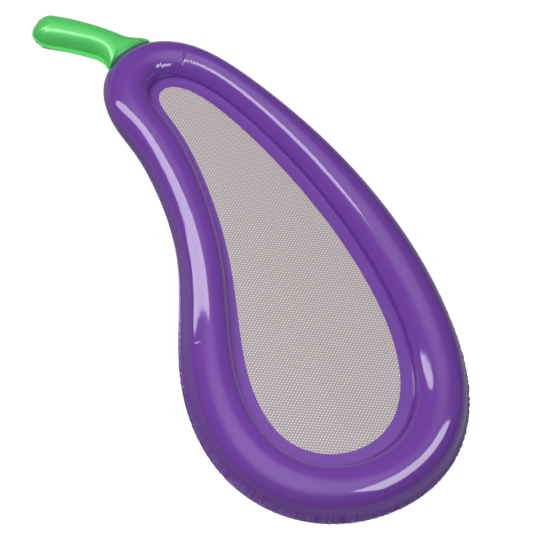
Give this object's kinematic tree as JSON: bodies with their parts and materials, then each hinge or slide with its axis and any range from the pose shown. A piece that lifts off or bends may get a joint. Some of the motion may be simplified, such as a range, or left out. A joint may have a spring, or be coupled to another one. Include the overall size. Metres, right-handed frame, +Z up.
{
  "type": "inflatable pool mattress",
  "caption": "Flat float with the outline of an aubergine: an air tube rings a net lying panel, and a stubby air-filled stalk leaves the narrow end. Each air chamber has a plugged valve.",
  "frame": {"origin": "on the floor, under the middle of the whole part's bounding box", "axes": "+Z up out of the floor, +Y along the length towards the stalk, +X across to the side with the ring's valve"},
  "size_m": [0.8828, 1.8158, 0.1482],
  "materials": {
    "purple_film": "glossy",
    "green_film": "glossy",
    "grey_net": "matte",
    "clear_vinyl": "glossy"
  },
  "bodies": {
    "mattress": {"ring_top_sheet": "purple_film", "ring_bottom_sheet": "purple_film", "band_top_strip": "purple_film", "band_bottom_strip": "purple_film", "net_panel": "grey_net", "stalk_top_sheet": "green_film", "stalk_bottom_sheet": "green_film", "ring_valve_body": "clear_vinyl", "stalk_valve_body": "clear_vinyl"},
    "ring_plug": {"ring_valve_plug": "clear_vinyl"},
    "stalk_plug": {"stalk_valve_plug": "clear_vinyl"},
    "ring_flap": {"ring_valve_flap": "clear_vinyl"},
    "stalk_flap": {"stalk_valve_flap": "clear_vinyl"}
  },
  "joints": [
    {"name": "ring_plug_pull", "type": "slide", "parent": "mattress", "child": "ring_plug", "axis": [0.9628, -0.0413, -0.2669], "range_m": [0, 0.0075]},
    {"name": "stalk_plug_pull", "type": "slide", "parent": "mattress", "child": "stalk_plug", "axis": [0.393, 0.711, -0.5831], "range_m": [0, 0.0075]},
    {"name": "ring_flap_open", "type": "hinge", "parent": "mattress", "child": "ring_flap", "pos_m": [0.41795, -0.3406, 0.05443], "axis": [-0.2667, 0.0114, -0.9637], "range_deg": [0, 60], "stiffness_Nm_per_rad": 0.002},
    {"name": "stalk_flap_open", "type": "hinge", "parent": "mattress", "child": "stalk_flap", "pos_m": [-0.30634, 0.85466, 0.03352], "axis": [-0.2821, -0.5103, -0.8124], "range_deg": [0, 60], "stiffness_Nm_per_rad": 0.002}
  ]
}
